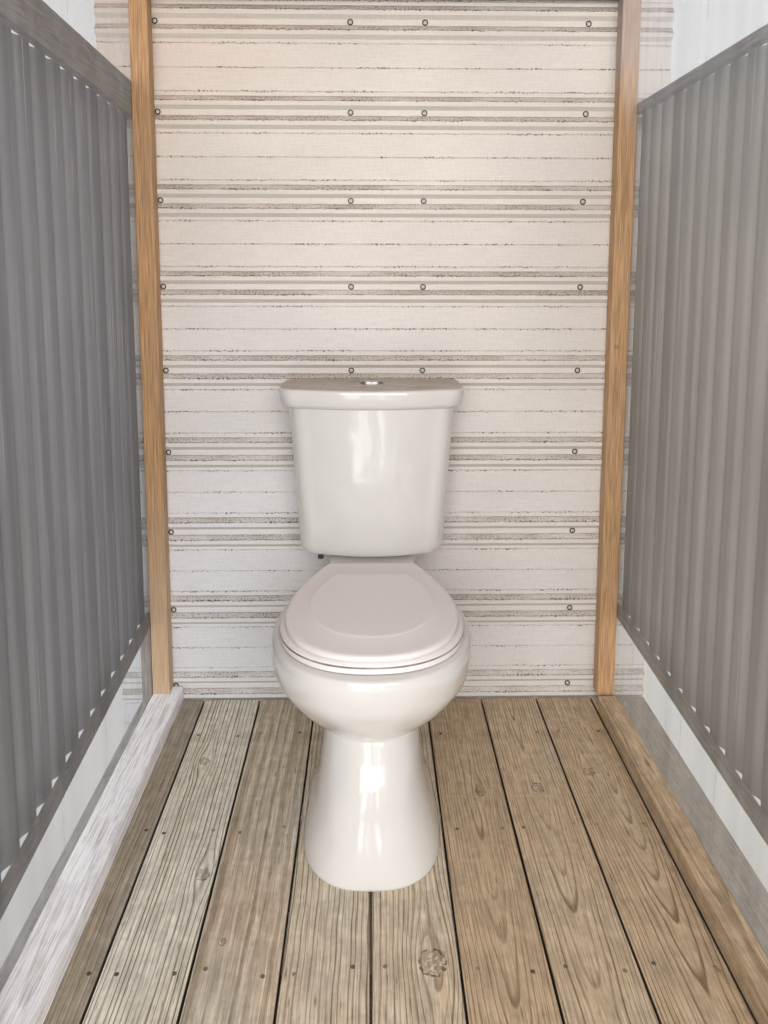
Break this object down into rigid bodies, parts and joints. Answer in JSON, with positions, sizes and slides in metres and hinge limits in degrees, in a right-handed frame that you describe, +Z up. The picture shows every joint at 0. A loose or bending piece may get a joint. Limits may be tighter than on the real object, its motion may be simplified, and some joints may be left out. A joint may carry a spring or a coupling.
{
  "type": "wooden outhouse",
  "caption": "Open-fronted timber outhouse on a raised board deck, with insect-screened sides, corrugated side sheets, ribbed white back wall, lean roof and a white flush toilet with hinged lid.",
  "frame": {"origin": "on the ground, at the middle of the outer box", "axes": "+Z up, +Y from the open front towards the back wall, +X to the right of a person who looks in"},
  "size_m": [1.428, 2.1524, 2.5369],
  "materials": {
    "old_wood": "weathered framing timber, rough",
    "deck_wood": "weathered pine deck boards with raised grain",
    "new_pine": "fresh sawn pine, dry",
    "grey_wood": "grey painted board, worn",
    "screen": "grey insect screen",
    "side_sheet": "faded taupe corrugated sheet, dull",
    "siding": "cream ribbed siding, satin, dirt on the ledges",
    "porcelain": "white glaze, glossy",
    "seat_plastic": "white, semi-gloss, dusty",
    "chrome_metal": "polished",
    "gasket_rubber": "matt",
    "inlet_plastic": "plain"
  },
  "bodies": {
    "stall": {"legs": "old_wood", "left_rim_beam": "old_wood", "right_rim_beam": "old_wood", "right_sill": "old_wood", "joists": "old_wood", "deck_boards": "deck_wood", "left_floor_plate": "old_wood", "right_floor_batten": "deck_wood", "left_back_post": "new_pine", "right_back_post": "new_pine", "left_mid_post": "new_pine", "right_mid_post": "new_pine", "left_front_post": "new_pine", "right_front_post": "new_pine", "left_rail_blocks": "old_wood", "left_screen": "screen", "right_screen": "screen", "left_bottom_rail": "old_wood", "right_bottom_rail": "old_wood", "left_top_rail": "old_wood", "right_top_rail": "old_wood", "left_side_sheet": "side_sheet", "right_side_sheet": "side_sheet", "back_siding": "siding", "wall_studs": "old_wood", "skirt_board": "grey_wood", "back_header": "old_wood", "front_header": "old_wood", "rafters": "new_pine", "roof_boarding": "new_pine", "roof_sheet": "side_sheet", "front_fascia": "old_wood", "back_fascia": "old_wood", "toilet_bowl": "porcelain", "seat_ring": "seat_plastic", "seat_hinges": "seat_plastic", "tank_gasket": "gasket_rubber", "toilet_tank": "porcelain", "tank_lid": "porcelain", "flush_button": "chrome_metal", "fill_inlet": "inlet_plastic"},
    "seat_lid": {"seat_lid": "seat_plastic"}
  },
  "joints": [
    {"name": "lid_hinge", "type": "hinge", "parent": "stall", "child": "seat_lid", "pos_m": [-0.033, 0.685, 0.779], "axis": [-1, 0, 0], "range_deg": [0, 90]}
  ]
}
